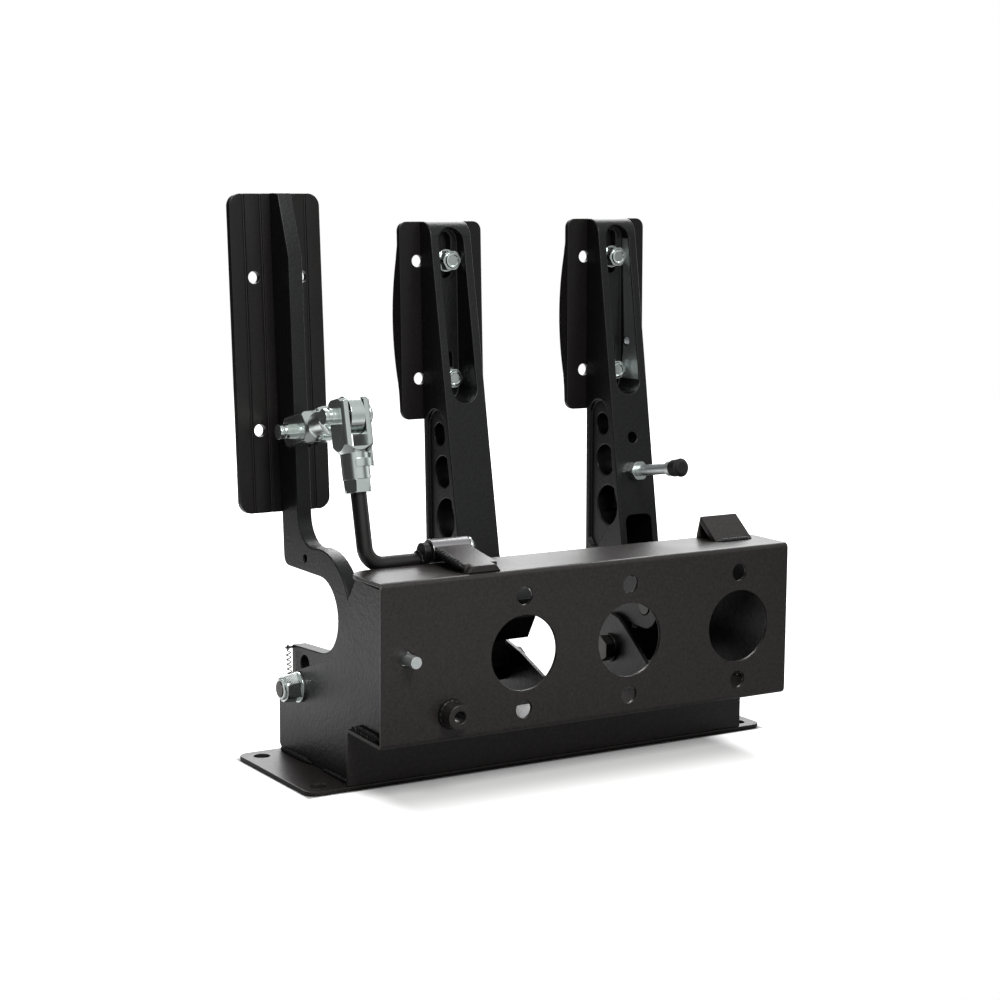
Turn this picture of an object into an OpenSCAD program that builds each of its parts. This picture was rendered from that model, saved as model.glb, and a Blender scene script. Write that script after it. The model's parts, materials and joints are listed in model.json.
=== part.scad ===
// Floor-mounted pedal box with throttle, brake and clutch pedals on a folded sheet frame.
// Millimetres, +Z up. The driver sits on the +Y side and the master cylinders bolt on at -Y.
// The origin is the centre of the four floor holes, on the underside of the base plate.

/* [Folded frame] */
// width of the folded front channel
box_w = 244; // [234:1:270]
// shift of the channel's middle from the middle of the floor holes
box_shift = 4.25; // [2:0.25:6]
// height of the top flange above the floor
box_h = 109.4; // [100:0.1:125]
// height of the floor wall under the step
step_h = 29.5; // [24:0.5:34]
// distance from the floor wall forward to the front plate
step_d = 34.7; // [28:0.1:42]
// depth of the top flange
flange_d = 37.75; // [32:0.25:42]
// thickness of the folded sheet and of every plate
sheet_t = 2.2; // [2:0.1:4]
// inside radius of the folds
bend_r = 0.6; // [0.5:0.1:3]
// radius of the rear corners of the top flange
flange_corner_r = 12; // [4:0.5:14]
// fall of the step from the floor wall to the front plate
step_drop = 1.3; // [0:0.1:2]

/* [Floor mounting] */
// how much wider than the channel the floor holes are spaced
floor_over = 14; // [10:0.5:20]
// floor hole spacing front to back
floor_dy = 65.3; // [60:0.1:72]
// radius of the floor holes
floor_hole_r = 4.1; // [3:0.1:5]
// distance from a floor hole to the side edge
floor_edge_x = 10.1; // [8:0.1:14]
// distance from a floor hole to the front or rear edge
floor_edge_y = 9.5; // [8:0.1:14]
// corner radius of the base plate
base_corner_r = 6; // [3:0.5:9]
// distance from the channel's end to the outside of a side plate
side_inset = 3.5; // [2:0.5:6]

/* [Master cylinder openings] */
// radius of a master cylinder opening
mc_r = 19; // [15:0.5:21]
// spacing of the two studs of a master cylinder
mc_stud_dz = 57.15; // [50:0.05:62]
// radius of a stud hole
mc_stud_r = 4.5; // [4:0.1:5.2]
// height of the master cylinder openings
mc_z = 67.7; // [64:0.1:72]
// spacing of the two brake cylinders
brake_mc_dx = 63; // [56:0.5:68]
// shift of the middle of the brake cylinders from the brake arm
brake_mc_shift = 2.25; // [0:0.25:4]

/* [Pedal pivots] */
// front to back place of the common pivot axis
pivot_y = 18.15; // [14:0.05:22]
// height of the common pivot axis
pivot_z = 40; // [36:0.5:44]
// radius of the pivot bolts
pivot_bolt_r = 4; // [3:0.5:4.5]
// radius of the sleeves that the pedals turn on
sleeve_r = 5; // [4.8:0.1:6]
// running clearance round a turning pin or sleeve
run_gap = 0.05; // [0.02:0.01:0.09]
// side gap between moving and fixed faces
side_gap = 0.4; // [0.3:0.05:0.6]

/* [Throttle pedal] */
// distance from the channel's left end to the throttle arm
throttle_in = 15; // [14:0.25:18]
// thickness of the throttle arm
throttle_t = 8; // [6:0.5:9]
// width of the round neck of the arm
neck_w = 14; // [10:0.5:16]
// inside radius of the round neck
neck_r = 19.7; // [16:0.1:21]
// front to back depth of the upper arm
throttle_d = 19; // [15:0.5:22]
// backward lean of the upper arm and its pad
throttle_lean = 4.1; // [2:0.1:6]
// width of the throttle pad
tpad_w = 51.5; // [44:0.5:60]
// height of the throttle pad
tpad_h = 165; // [150:1:170]
// thickness of the throttle pad
tpad_t = 4; // [3:0.5:6]

/* [Brake and clutch pedals] */
// distance from the channel's left end to the brake arm
brake_in = 109.5; // [104:0.25:115]
// distance from the channel's right end to the clutch arm
clutch_in = 31.75; // [28:0.25:34]
// backward lean of the brake pedal at rest
brake_lean = 2.4; // [0:0.1:4]
// backward lean of the clutch pedal at rest
clutch_lean = 0.7; // [0:0.1:4]
// width of the brake and clutch arms
arm_w = 25; // [22:0.5:27]
// distance from the pivot back to the rear face of an arm
arm_back = 31.3; // [28:0.1:34]
// height of an arm above the pivot
arm_h = 237; // [230:1:250]
// depth of an arm just below its round top
arm_top_d = 11.1; // [9:0.1:14]
// depth of an arm where it leaves the frame
arm_low_d = 36.5; // [32:0.5:40]
// depth of the recess in each flank
flank_recess = 2; // [1:0.1:4]
// width of the long pocket in the front face
pocket_w = 15; // [13.5:0.5:17]
// wall left behind the long pocket
pocket_floor = 4.5; // [3.5:0.1:5.5]
// width of a pad
pad_w = 51; // [46:0.5:56]
// height of a pad
pad_h = 106; // [98:1:112]
// thickness of a pad
pad_t = 3; // [2:0.5:4]
// greatest height of the curved side lips of a pad
lip_h = 6; // [4:0.5:8]
// spacing of the pad bolts up the arm
pad_bolt_dz = 63; // [56:0.5:66]

/* [Throttle linkage] */
// distance of the lever shaft behind the top flange
lever_back = 2.75; // [2.5:0.05:5]
// height of the lever shaft above the top flange
lever_rise = 5.6; // [5.6:0.1:7]
// radius of the lever rod and of its shaft
rod_r = 4; // [3:0.1:4.3]
// width of the square forks
fork_w = 16; // [15:0.5:20]
// width of the fork slots
fork_slot = 8.7; // [8.6:0.1:10]
// distance from a fork's pin to the end of its neck
fork_l = 32; // [30:1:36]

/* [Hidden] */
$fn = 64;
eps = 0.01;
black = [0.045, 0.043, 0.043];
satin = [0.08, 0.08, 0.085];
zinc = [0.74, 0.75, 0.77];
dark_steel = [0.2, 0.19, 0.19];
rubber_black = [0.02, 0.02, 0.02];

// planes of the folded sheet
y_wall = -floor_dy / 2 - floor_edge_y;
y_front = y_wall - step_d;
y_flange = y_front + flange_d;
y_rear = floor_dy / 2 + floor_edge_y;
box_left = box_shift - box_w / 2;
box_right = box_left + box_w;
floor_dx = box_w + floor_over;
throttle_x = box_left + throttle_in;
brake_x = box_left + brake_in;
clutch_x = box_right - clutch_in;
mc_x1 = brake_x + brake_mc_shift - brake_mc_dx / 2;
mc_x2 = mc_x1 + brake_mc_dx;
fold_r = bend_r + sheet_t;
step_front_h = step_h - step_drop;
function step_low(y) = step_h
    - step_drop * (y_wall - bend_r - y) / (y_wall - bend_r - y_front - fold_r);
wall_short = 2.5;
wall_w = box_w - wall_short;
left_plate_x = box_left + side_inset;
right_plate_x = box_right - side_inset - sheet_t;

// brackets stand this far from the arm flanks
bracket_gap = 3;
brake_left_x = brake_x - arm_w / 2 - bracket_gap - sheet_t;
brake_right_x = brake_x + arm_w / 2 + bracket_gap;
clutch_bracket_gap = 1.75;
clutch_left_x = clutch_x - arm_w / 2 - clutch_bracket_gap - sheet_t;

// standard fastener sizes
m8_af = 13;
m8_head_h = 5.3;
m8_nut_h = 8;
m8_washer_r = 8;
washer_t = 1.6;
m6_r = 3;
m6_af = 10;
m6_nut_h = 6;
m6_washer_r = 6;
hole_gap = 0.2;

// nose of the arms, from the pivot, where the pushrods act
nose_y = -27;
nose_z = mc_z - pivot_z;
nose_r = 13;
brake_nose_z = nose_z + 6;
boss_r = 10;
tube_r = 10;
tube_l = arm_w + 5;

// front line of a brake or clutch arm, measured from the pivot
arm_low_z = 59;
arm_round_r = 9;
arm_high_z = arm_h - arm_round_r;
function arm_front(z) = arm_back - arm_low_d
    + (arm_low_d - arm_top_d) * (z - arm_low_z) / (arm_high_z - arm_low_z);
pad_mid_z = arm_h - pad_h / 2;
pad_bolt_z = pad_mid_z + 0.5;
pocket_under = 12.5;
pocket_low_z = pad_bolt_z - pad_bolt_dz / 2 - pocket_under;
pocket_top_rim = 3.5;
slot_w = 2 * (m6_r + 0.4);
slot_l = 24;
nut_face_y = arm_back - pocket_floor;

// throttle arm, measured from the pivot
neck_y = -8.8;
neck_z = 38.5;
neck_out_r = neck_r + neck_w;
knee_z = neck_z + neck_r;
knee_y = 33.5;
knee_ref_z = 68;
foot_rear_y = 23.7;
foot_front_y = -16;
foot_low_z = -14;
foot_round_r = 9;
throttle_top_z = 250.5;
throttle_kink_z = 218;
throttle_top_d = 9;
function throttle_rear(z) = knee_y + (z - knee_ref_z) * tan(throttle_lean);
function throttle_front(z) = throttle_rear(z) - throttle_d;
knee_fillet_r = 16;
fillet_y = throttle_front(knee_z + 29.2) - knee_fillet_r;
fillet_z = neck_z + sqrt(pow(neck_out_r + knee_fillet_r, 2) - pow(fillet_y - neck_y, 2));
fillet_a = atan2(fillet_z - neck_z, fillet_y - neck_y);

// link geometry in the frame: pin on the arm, pin on the lever, lever shaft
link_z = 130.1;
link_proud = 3.2;
link_pin = [pivot_y + throttle_front(link_z) - link_proud, pivot_z + link_z];
shaft_at = [y_flange + lever_back, box_h + lever_rise];
lever_pin_at = shaft_at + [19.8, 67.9];
leg_at = shaft_at + [2.5, -4.7];
link_v = lever_pin_at - link_pin;
lever_v = leg_at - lever_pin_at;
link_l = norm(link_v);
lever_l = norm(lever_v);
link_a = atan2(-link_v[0], link_v[1]);
lever_a = atan2(-lever_v[0], lever_v[1]);
fork_end = 8.2;
fork_chamfer = 1.6;
fork_cone = 4;
fork_slot_l = 16;
fork_square_l = 19;
neck_fork_r = 7;
bore_gap = 0.05;
eye_t = throttle_t - 0.6;
eye_r = 9.5;
eye_play = 0.85;
thin_nut_h = 4;
lock_nut_h = 6.5;
rod_bend_r = 9;
shaft_tube_r = 6;
shaft_tube_x = throttle_x + 33.5;
shaft_tube_l = 21.75;
crank_t = 4;
crank_eye_r = shaft_tube_r - 1.3;
crank_leg_r = rod_r + 0.4;
shaft_clip_t = 1.2;
shaft_clip_w = 1.7;
saddle_t = 3.5;

// throttle stop, set so that its head meets the neck at the end of the travel
throttle_travel = 14;
stop_z = 71.5;
stop_x = throttle_x - 0.5;
stop_neck_y = pivot_y + neck_y * cos(throttle_travel) - neck_z * sin(throttle_travel);
stop_end_y = stop_neck_y - neck_out_r - side_gap;
stop_proud = 8.5;

// return spring of the throttle, hooked on a peg of the foot and on a peg of the left side plate
spring_r = 1.15;
spring_wire_r = 0.35;
spring_turns = 18;
spring_hook = 2;
peg_r = 0.6;
spring_x = (left_plate_x + sheet_t + throttle_x - throttle_t / 2) / 2;
spring_low = [y_rear - 7.15, sheet_t + 6];
spring_high = [pivot_y + foot_rear_y - 0.65, pivot_z + neck_z - neck_r - 3];
spring_v = spring_high - spring_low;
spring_l = norm(spring_v);
spring_lean = atan2(spring_v[0], spring_v[1]);

// small boss on the front plate
cable_x = box_left + 38.5;
cable_z = 42;
cable_r = 6.3;
cable_l = 9;
cable_hole_r = 3;

// points along an arc in a side view
function arc(cy, cz, r, a0, a1, n = 10) =
    [for (i = [0:n]) [cy + r * cos(a0 + (a1 - a0) * i / n), cz + r * sin(a0 + (a1 - a0) * i / n)]];

// a side view outline given across the box from x0 to x0 + w
module side_plate_of(points, x0, w) {
    translate([x0, 0, 0]) rotate([90, 0, 90]) linear_extrude(w) polygon(points);
}

// a cylinder along X, Y or Z that starts at the origin
module along_x(r, l) {
    rotate([0, 90, 0]) cylinder(r = r, h = l);
}
module along_y(r, l) {
    rotate([-90, 0, 0]) cylinder(r = r, h = l);
}

// a block between two corners
module block(a, b) {
    translate(a) cube(b - a);
}

// hexagon bar along Z, measured across flats
module hex_z(af, h) {
    cylinder(r = af / sqrt(3), h = h, $fn = 6);
}

// nut along Z with a bevelled outer face
module nut_z(af, h, hole_r) {
    difference() {
        intersection() {
            hex_z(af, h);
            cylinder(r1 = af / sqrt(3) + 0.2, r2 = af / 2 + 0.2, h = h + 1.2);
        }
        translate([0, 0, -1]) cylinder(r = hole_r, h = h + 2);
    }
}

// flat washer along Z
module washer_z(r, hole_r, t) {
    difference() {
        cylinder(r = r, h = t);
        translate([0, 0, -1]) cylinder(r = hole_r, h = t + 2);
    }
}

// the local frame of a pedal: origin on the pivot axis, leaned back by an angle
module at_pivot(x, lean = 0) {
    translate([x, pivot_y, pivot_z]) rotate([-lean, 0, 0]) children();
}

// the local frame of a link pin, with +Z turned by an angle about X
module at_pin(p, a) {
    translate([throttle_x, p[0], p[1]]) rotate([a, 0, 0]) children();
}

// one fold of the sheet along X: a quarter ring about its own centre, in the given quadrant
module fold(y, z, quarter, x0, w) {
    translate([x0, y, z]) intersection() {
        difference() {
            along_x(fold_r, w);
            translate([-1, 0, 0]) along_x(bend_r, w + 2);
        }
        rotate([90 * quarter, 0, 0]) cube([w, fold_r + 1, fold_r + 1]);
    }
}

module base_plate() {
    lx = floor_dx + 2 * floor_edge_x;
    ly = y_rear - y_wall;
    color(black) difference() {
        union() {
            block([-lx / 2 + base_corner_r, y_wall, 0], [lx / 2 - base_corner_r, y_rear, sheet_t]);
            block([-lx / 2, y_wall + base_corner_r, 0], [lx / 2, y_rear - base_corner_r, sheet_t]);
            for (sx = [-1, 1], sy = [-1, 1])
                translate([sx * (lx / 2 - base_corner_r), sy * (ly / 2 - base_corner_r), 0])
                    cylinder(r = base_corner_r, h = sheet_t);
        }
        for (sx = [-1, 1], sy = [-1, 1])
            translate([sx * floor_dx / 2, sy * floor_dy / 2, -1]) cylinder(r = floor_hole_r, h = sheet_t + 2);
    }
}

// sloping sheet of the step between two places front to back
module step_sheet(y0, y1, x0, w) {
    side_plate_of([
        [y0, step_low(y0)], [y1, step_low(y1)], [y1, step_low(y1) + sheet_t], [y0, step_low(y0) + sheet_t]
    ], x0, w);
}

module front_channel() {
    x0 = box_left;
    top = box_h;
    color(black) difference() {
        union() {
            // floor wall, step, front plate and top flange with their three folds
            block([x0, y_wall, sheet_t], [x0 + wall_w, y_wall + sheet_t, step_h - bend_r]);
            step_sheet(y_front + fold_r, y_wall - bend_r, x0, wall_w);
            fold(y_wall - bend_r, step_h - bend_r, 0, x0, wall_w);
            step_sheet(y_front + fold_r, y_wall - fold_r, x0, box_w);
            fold(y_front + fold_r, step_front_h + fold_r, 2, x0, box_w);
            block([x0, y_front, step_front_h + fold_r], [x0 + box_w, y_front + sheet_t, top - fold_r]);
            fold(y_front + fold_r, top - fold_r, 1, x0, box_w);
            block([x0, y_front + fold_r, top - sheet_t], [x0 + box_w, y_flange - flange_corner_r, top]);
            block([x0 + flange_corner_r, y_front + fold_r, top - sheet_t],
                  [x0 + box_w - flange_corner_r, y_flange, top]);
            for (x = [x0 + flange_corner_r, x0 + box_w - flange_corner_r])
                translate([x, y_flange - flange_corner_r, top - sheet_t])
                    cylinder(r = flange_corner_r, h = sheet_t);
        }
        for (x = [mc_x1, mc_x2, clutch_x]) translate([x, y_front - 1, mc_z]) {
            along_y(mc_r, sheet_t + 2);
            for (s = [-1, 1]) translate([0, 0, s * mc_stud_dz / 2]) along_y(mc_stud_r, sheet_t + 2);
        }
        translate([stop_x, y_front - 1, stop_z]) along_y(m6_r + 0.6, sheet_t + 2);
        translate([cable_x, y_front - 1, cable_z]) along_y(cable_hole_r, sheet_t + 2);
    }
}

// outer side plate: low round lug at the pivot, high tongue under the top flange
lug_round_r = 14;
lug_drop = 9.5;
side_chamfer = 3;
fold_relief = 4;
tongue_gap = 0.9;
tongue_fall = 1.1;
step_seat_y = y_front + fold_r + 3;
function side_outline() = concat(
    [[y_wall + sheet_t, sheet_t], [y_rear - side_chamfer, sheet_t], [y_rear, sheet_t + side_chamfer]],
    arc(y_rear - lug_round_r, pivot_z - lug_drop, lug_round_r, 0, 70),
    [[pivot_y - 3.3, pivot_z + 10.4], [y_wall + 26, pivot_z + 21.2]],
    [[y_wall + 6, box_h - 14.4], [y_flange - 5, box_h - sheet_t - tongue_gap]],
    [[y_front + sheet_t + fold_relief, box_h - sheet_t - tongue_gap - tongue_fall]],
    [[y_front + sheet_t, box_h - fold_r - fold_relief]],
    [[y_front + sheet_t, step_low(step_seat_y) + sheet_t + fold_relief]],
    [[step_seat_y, step_low(step_seat_y) + sheet_t], [y_wall - bend_r, step_h + sheet_t]],
    [[y_wall + sheet_t, step_h + sheet_t]]
);

module side_plate(x0) {
    color(satin) difference() {
        side_plate_of(side_outline(), x0, sheet_t);
        translate([x0 - 1, pivot_y, pivot_z]) along_x(pivot_bolt_r + hole_gap, sheet_t + 2);
    }
}

module left_side_plate() {
    side_plate(left_plate_x);
}

module right_side_plate() {
    side_plate(right_plate_x);
}

// upright bracket beside an arm, with a round top on the pivot
bracket_round_r = 13;
clutch_round_r = 19.5;
module pivot_bracket(x0, front_y, round_r, round_end, shoulder) {
    foot_rear = pivot_y + 17;
    points = concat(
        [[front_y, sheet_t], [foot_rear, sheet_t], [foot_rear, pivot_z - 16]],
        arc(pivot_y, pivot_z, round_r, -20, round_end),
        shoulder,
        [[front_y, pivot_z - 18]]
    );
    color(black) difference() {
        side_plate_of(points, x0, sheet_t);
        translate([x0 - 1, pivot_y, pivot_z]) along_x(pivot_bolt_r + hole_gap, sheet_t + 2);
    }
}

brake_shoulder = [[pivot_y - 19.15, pivot_z + 8.5], [y_wall + 18.35, pivot_z - 0.4]];
clutch_shoulder = [[y_wall + 24.55, pivot_z - 2.3]];

module brake_bracket_left() {
    pivot_bracket(brake_left_x, y_wall + 7, bracket_round_r, 105, brake_shoulder);
}

module brake_bracket_right() {
    pivot_bracket(brake_right_x, y_wall + 7, bracket_round_r, 105, brake_shoulder);
}

module clutch_bracket() {
    pivot_bracket(clutch_left_x, y_wall + 15, clutch_round_r, 127, clutch_shoulder);
}

// folded inverted V on the top flange, ahead of the clutch stop bolt
stop_bracket_w = 24;
module clutch_stop_bracket() {
    apex = [y_flange - 3.3, box_h + 11.8];
    foot_front = y_flange - 18.3;
    foot_rear = y_flange;
    front_leg = 5.2;
    rear_leg = 3.2;
    points = [
        [foot_front, box_h], apex, [foot_rear, box_h],
        [foot_rear - rear_leg, box_h], apex - [0.4, 4.2], [foot_front + front_leg, box_h]
    ];
    color(black) side_plate_of(points, clutch_x - 1, stop_bracket_w);
}

// inclined plate that carries the lever tube above the top flange
saddle_rise = 5.4;
saddle_seat = 8;
saddle_x = shaft_tube_x + 0.6;
saddle_w = shaft_tube_l - 2.5;
module linkage_saddle() {
    front = y_front + 3;
    rear = shaft_at[0] - 4;
    points = [
        [front, box_h], [front, box_h + saddle_t], [rear, box_h + saddle_t + saddle_rise],
        [rear, box_h + saddle_rise], [front + saddle_seat, box_h]
    ];
    corner_a = 39;
    corner_l = 4;
    cut = 10;
    color(black) difference() {
        side_plate_of(points, saddle_x, saddle_w);
        translate([shaft_tube_x - 1, shaft_at[0], shaft_at[1]]) along_x(shaft_tube_r, shaft_tube_l + 2);
        // the two front corners are cut off on a slant
        translate([saddle_x, front, box_h]) rotate([0, corner_a, 0]) block([-cut, -1, -1], [0, corner_l, cut]);
        translate([saddle_x + saddle_w, front, box_h]) rotate([0, -corner_a, 0])
            block([0, -1, -1], [cut, corner_l, cut]);
    }
}

module linkage_tube() {
    color(dark_steel) translate([shaft_tube_x, shaft_at[0], shaft_at[1]]) difference() {
        along_x(shaft_tube_r, shaft_tube_l);
        translate([-1, 0, 0]) along_x(rod_r + run_gap, shaft_tube_l + 2);
    }
}

module cable_boss() {
    color(black) translate([cable_x, y_front - cable_l, cable_z]) difference() {
        along_y(cable_r, cable_l);
        translate([0, -1, 0]) along_y(cable_hole_r, cable_l + 2);
    }
}

module throttle_stop_screw() {
    head_h = 4;
    color(zinc) translate([stop_x, 0, stop_z]) {
        translate([0, y_front - stop_proud, 0]) along_y(m6_r, stop_end_y - head_h / 2 - y_front + stop_proud);
        translate([0, stop_end_y, 0]) rotate([90, 0, 0]) hex_z(m6_af, head_h);
    }
}

// two plain nuts that lock the stop screw from behind
module throttle_stop_nuts() {
    nut_h = 5;
    color(zinc) for (y = [0, nut_h + 0.2])
        translate([stop_x, y_front + sheet_t + y, stop_z]) rotate([-90, 0, 0]) nut_z(m6_af, nut_h, m6_r);
}

// pivot bolt along X: head at one end, plain shank through to the other
module pivot_bolt(head_x, end_x) {
    dir = sign(end_x - head_x);
    color(zinc) translate([head_x, pivot_y, pivot_z]) rotate([0, 90 * dir, 0]) {
        translate([0, 0, -m8_head_h]) hex_z(m8_af, m8_head_h);
        translate([0, 0, -eps]) cylinder(r = pivot_bolt_r, h = abs(end_x - head_x) + eps);
    }
}

throttle_head_x = throttle_x + throttle_t / 2 + 2 * side_gap + washer_t;
throttle_nut_x = left_plate_x - washer_t;
brake_head_x = brake_left_x - washer_t;
brake_nut_x = brake_right_x + sheet_t + washer_t;
clutch_head_x = clutch_left_x - washer_t;
clutch_nut_x = right_plate_x + sheet_t + washer_t;
thread_out = m8_nut_h + 2;

module throttle_pivot_bolt() {
    pivot_bolt(throttle_head_x, throttle_nut_x - thread_out);
}

module brake_pivot_bolt() {
    pivot_bolt(brake_head_x, brake_nut_x + thread_out);
}

module clutch_pivot_bolt() {
    pivot_bolt(clutch_head_x, clutch_nut_x + thread_out);
}

module pivot_nuts() {
    color(zinc) {
        translate([throttle_nut_x, pivot_y, pivot_z]) rotate([0, -90, 0])
            nut_z(m8_af, m8_nut_h, pivot_bolt_r);
        for (x = [brake_nut_x, clutch_nut_x]) translate([x, pivot_y, pivot_z]) rotate([0, 90, 0])
            nut_z(m8_af, m8_nut_h, pivot_bolt_r);
    }
}

module pivot_washers() {
    starts = [
        throttle_nut_x, throttle_head_x - washer_t, brake_head_x,
        brake_nut_x - washer_t, clutch_head_x, clutch_nut_x - washer_t
    ];
    color(zinc) for (x = starts) translate([x, pivot_y, pivot_z]) rotate([0, 90, 0])
        washer_z(m8_washer_r, pivot_bolt_r + hole_gap, washer_t);
}

// sleeve clamped between two faces, that an arm turns on
module pivot_sleeve(x0, x1) {
    color(dark_steel) translate([x0, pivot_y, pivot_z]) difference() {
        along_x(sleeve_r, x1 - x0);
        translate([-1, 0, 0]) along_x(pivot_bolt_r + hole_gap, x1 - x0 + 2);
    }
}

module throttle_sleeve() {
    pivot_sleeve(left_plate_x + sheet_t, throttle_head_x - washer_t);
}

module brake_sleeve() {
    pivot_sleeve(brake_left_x + sheet_t, brake_right_x);
}

module clutch_sleeve() {
    pivot_sleeve(clutch_left_x + sheet_t, right_plate_x);
}

// loose tube that keeps the clutch arm away from the right side plate
module clutch_spacer() {
    x0 = clutch_x + arm_w / 2 + 2 * side_gap;
    color(dark_steel) translate([x0, pivot_y, pivot_z]) difference() {
        along_x(m8_washer_r, right_plate_x - x0);
        translate([-1, 0, 0]) along_x(sleeve_r + hole_gap, right_plate_x - x0 + 2);
    }
}

// round wire wound into a coil along Z, ring by ring, starting at +Y
module coil(r, wire_r, length, turns) {
    steps = 8;
    sides = 5;
    n = turns * steps;
    points = [
        for (i = [0:n], k = [0:sides - 1])
            let (a = 90 + 360 * i / steps, b = 360 * k / sides, out = r + wire_r * cos(b))
                [out * cos(a), out * sin(a), length * i / n + wire_r * sin(b)]
    ];
    skin = [
        for (i = [0:n - 1], k = [0:sides - 1])
            let (next = (k + 1) % sides)
                [i * sides + k, i * sides + next, (i + 1) * sides + next, (i + 1) * sides + k]
    ];
    polyhedron(points, concat(
        [[for (k = [sides - 1:-1:0]) k]], skin, [[for (k = [0:sides - 1]) n * sides + k]]
    ));
}

module throttle_spring() {
    color(zinc) translate([spring_x, spring_low[0], spring_low[1]]) rotate([-spring_lean, 0, 0]) {
        translate([0, 0, spring_hook])
            coil(spring_r, spring_wire_r, spring_l - 2 * spring_hook, spring_turns);
        for (z = [0, spring_l]) translate([0, 0, z]) rotate([0, 90, 0])
            rotate_extrude($fn = 16) translate([spring_r, 0]) circle(r = spring_wire_r, $fn = 6);
        for (z = [0, spring_l - spring_hook]) translate([0, spring_r, z])
            cylinder(r = spring_wire_r, h = spring_hook, $fn = 6);
    }
}

module spring_peg_low() {
    x0 = left_plate_x + sheet_t;
    color(dark_steel) translate([x0, spring_low[0], spring_low[1]])
        along_x(peg_r, spring_x + spring_r + spring_wire_r - x0);
}

module spring_peg_high() {
    x1 = throttle_x - throttle_t / 2;
    x0 = spring_x - spring_r - spring_wire_r;
    color(dark_steel) translate([x0, spring_high[0], spring_high[1]]) along_x(peg_r, x1 - x0);
}

// throttle arm outline: upper arm, knee, round neck and foot, measured from the pivot
function throttle_outline() = concat(
    [[throttle_rear(throttle_top_z), throttle_top_z]],
    arc(throttle_rear(knee_z) - 5, knee_z + 5, 5, 0, -90, 4),
    arc(neck_y, neck_z, neck_r, 90, 270, 20),
    [[foot_rear_y, neck_z - neck_r - 1.8], [foot_rear_y, foot_low_z + foot_round_r]],
    arc(foot_rear_y - foot_round_r, foot_low_z + foot_round_r, foot_round_r, 0, -90, 6),
    arc(foot_front_y + foot_round_r, foot_low_z + foot_round_r, foot_round_r, -90, -180, 6),
    arc(neck_y, neck_z, neck_out_r, 235, fillet_a, 20),
    arc(fillet_y, fillet_z, knee_fillet_r, fillet_a + 180, 360 - throttle_lean, 8),
    [[throttle_front(throttle_kink_z), throttle_kink_z]],
    [[throttle_rear(throttle_top_z) - throttle_top_d, throttle_top_z]]
);

foot_boss_r = 9;
foot_hole = [8.6, 9];
foot_hole_r = 5;
knee_hole = [7.9, 65.2];
knee_hole_r = 2;
lug_r = 7.5;

module throttle_arm() {
    half = throttle_t / 2;
    boss_left = left_plate_x + sheet_t + side_gap - throttle_x;
    lug = [link_pin[0] - pivot_y, link_pin[1] - pivot_z];
    color(black) difference() {
        at_pivot(throttle_x) difference() {
            union() {
                side_plate_of(throttle_outline(), -half, throttle_t);
                translate([boss_left, 0, 0]) along_x(foot_boss_r, half + side_gap - boss_left);
                translate([-half, lug[0], lug[1]]) along_x(lug_r, throttle_t);
            }
            translate([boss_left - 1, 0, 0]) along_x(sleeve_r + run_gap, 2 * throttle_t + 4);
            translate([-half - 1, lug[0], lug[1]]) along_x(rod_r + run_gap, throttle_t + 2);
            translate([boss_left - 1, foot_hole[0], foot_hole[1]]) along_x(foot_hole_r, half - boss_left + 2);
            translate([-half - 1, knee_hole[0], knee_hole[1]]) along_x(knee_hole_r, throttle_t + 2);
        }
        at_throttle_pad() for (s = [-1, 1])
            translate([0, -tpad_screw_l, s * tpad_screw_dz / 2]) along_y(tpad_screw_r, tpad_screw_l + 1);
    }
}

// the frame of the throttle pad: origin at the middle of its back, +Y to the driver, along the lean
module at_throttle_pad() {
    z = throttle_top_z - tpad_h / 2;
    at_pivot(throttle_x) translate([0, throttle_rear(z), z]) rotate([-throttle_lean, 0, 0]) children();
}

tpad_shift = -1.3;
tpad_corner = 6.5;
pad_hole_dx = 29;
tpad_hole_x = [-pad_hole_dx / 2, pad_hole_dx / 2 - 2];
tpad_hole_dz = 79;
tpad_groove_x = [-19, -9.5, 16];
tpad_screw_dz = 90;
tpad_screw_r = 2.5;
tpad_screw_l = 7;

// rectangle with round corners standing on the XZ plane, from y = 0 to y = t
module pad_blank(w, h, t, r) {
    block([-w / 2 + r, 0, -h / 2], [w / 2 - r, t, h / 2]);
    block([-w / 2, 0, -h / 2 + r], [w / 2, t, h / 2 - r]);
    for (sx = [-1, 1], sz = [-1, 1]) translate([sx * (w / 2 - r), 0, sz * (h / 2 - r)]) along_y(r, t);
}

module throttle_pad() {
    groove_w = 1.2;
    groove_d = 0.8;
    color(satin) at_throttle_pad() difference() {
        translate([tpad_shift, 0, 0]) pad_blank(tpad_w, tpad_h, tpad_t, tpad_corner);
        for (x = tpad_groove_x)
            block([x - groove_w / 2, -1, -tpad_h / 2 - 1], [x + groove_w / 2, groove_d, tpad_h / 2 + 1]);
        for (x = tpad_hole_x, sz = [-1, 1])
            translate([x, -1, sz * tpad_hole_dz / 2]) along_y(m6_r + hole_gap, tpad_t + 2);
        for (s = [-1, 1]) translate([0, -1, s * tpad_screw_dz / 2]) {
            along_y(tpad_screw_r + hole_gap, tpad_t + 2);
            translate([0, tpad_t - 1.3, 0]) rotate([-90, 0, 0])
                cylinder(r1 = tpad_screw_r + hole_gap, r2 = tpad_screw_r + hole_gap + 3, h = 3);
        }
    }
}

// countersunk screws from the driver's side into the edge of the arm
module throttle_pad_screws() {
    color(zinc) at_throttle_pad() for (s = [-1, 1]) translate([0, 0, s * tpad_screw_dz / 2]) {
        translate([0, -tpad_screw_l, 0]) along_y(tpad_screw_r, tpad_screw_l + tpad_t - 1);
        translate([0, tpad_t - 2.1, 0]) rotate([-90, 0, 0])
            cylinder(r1 = tpad_screw_r, r2 = tpad_screw_r + 1.9, h = 1.9);
    }
}

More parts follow.
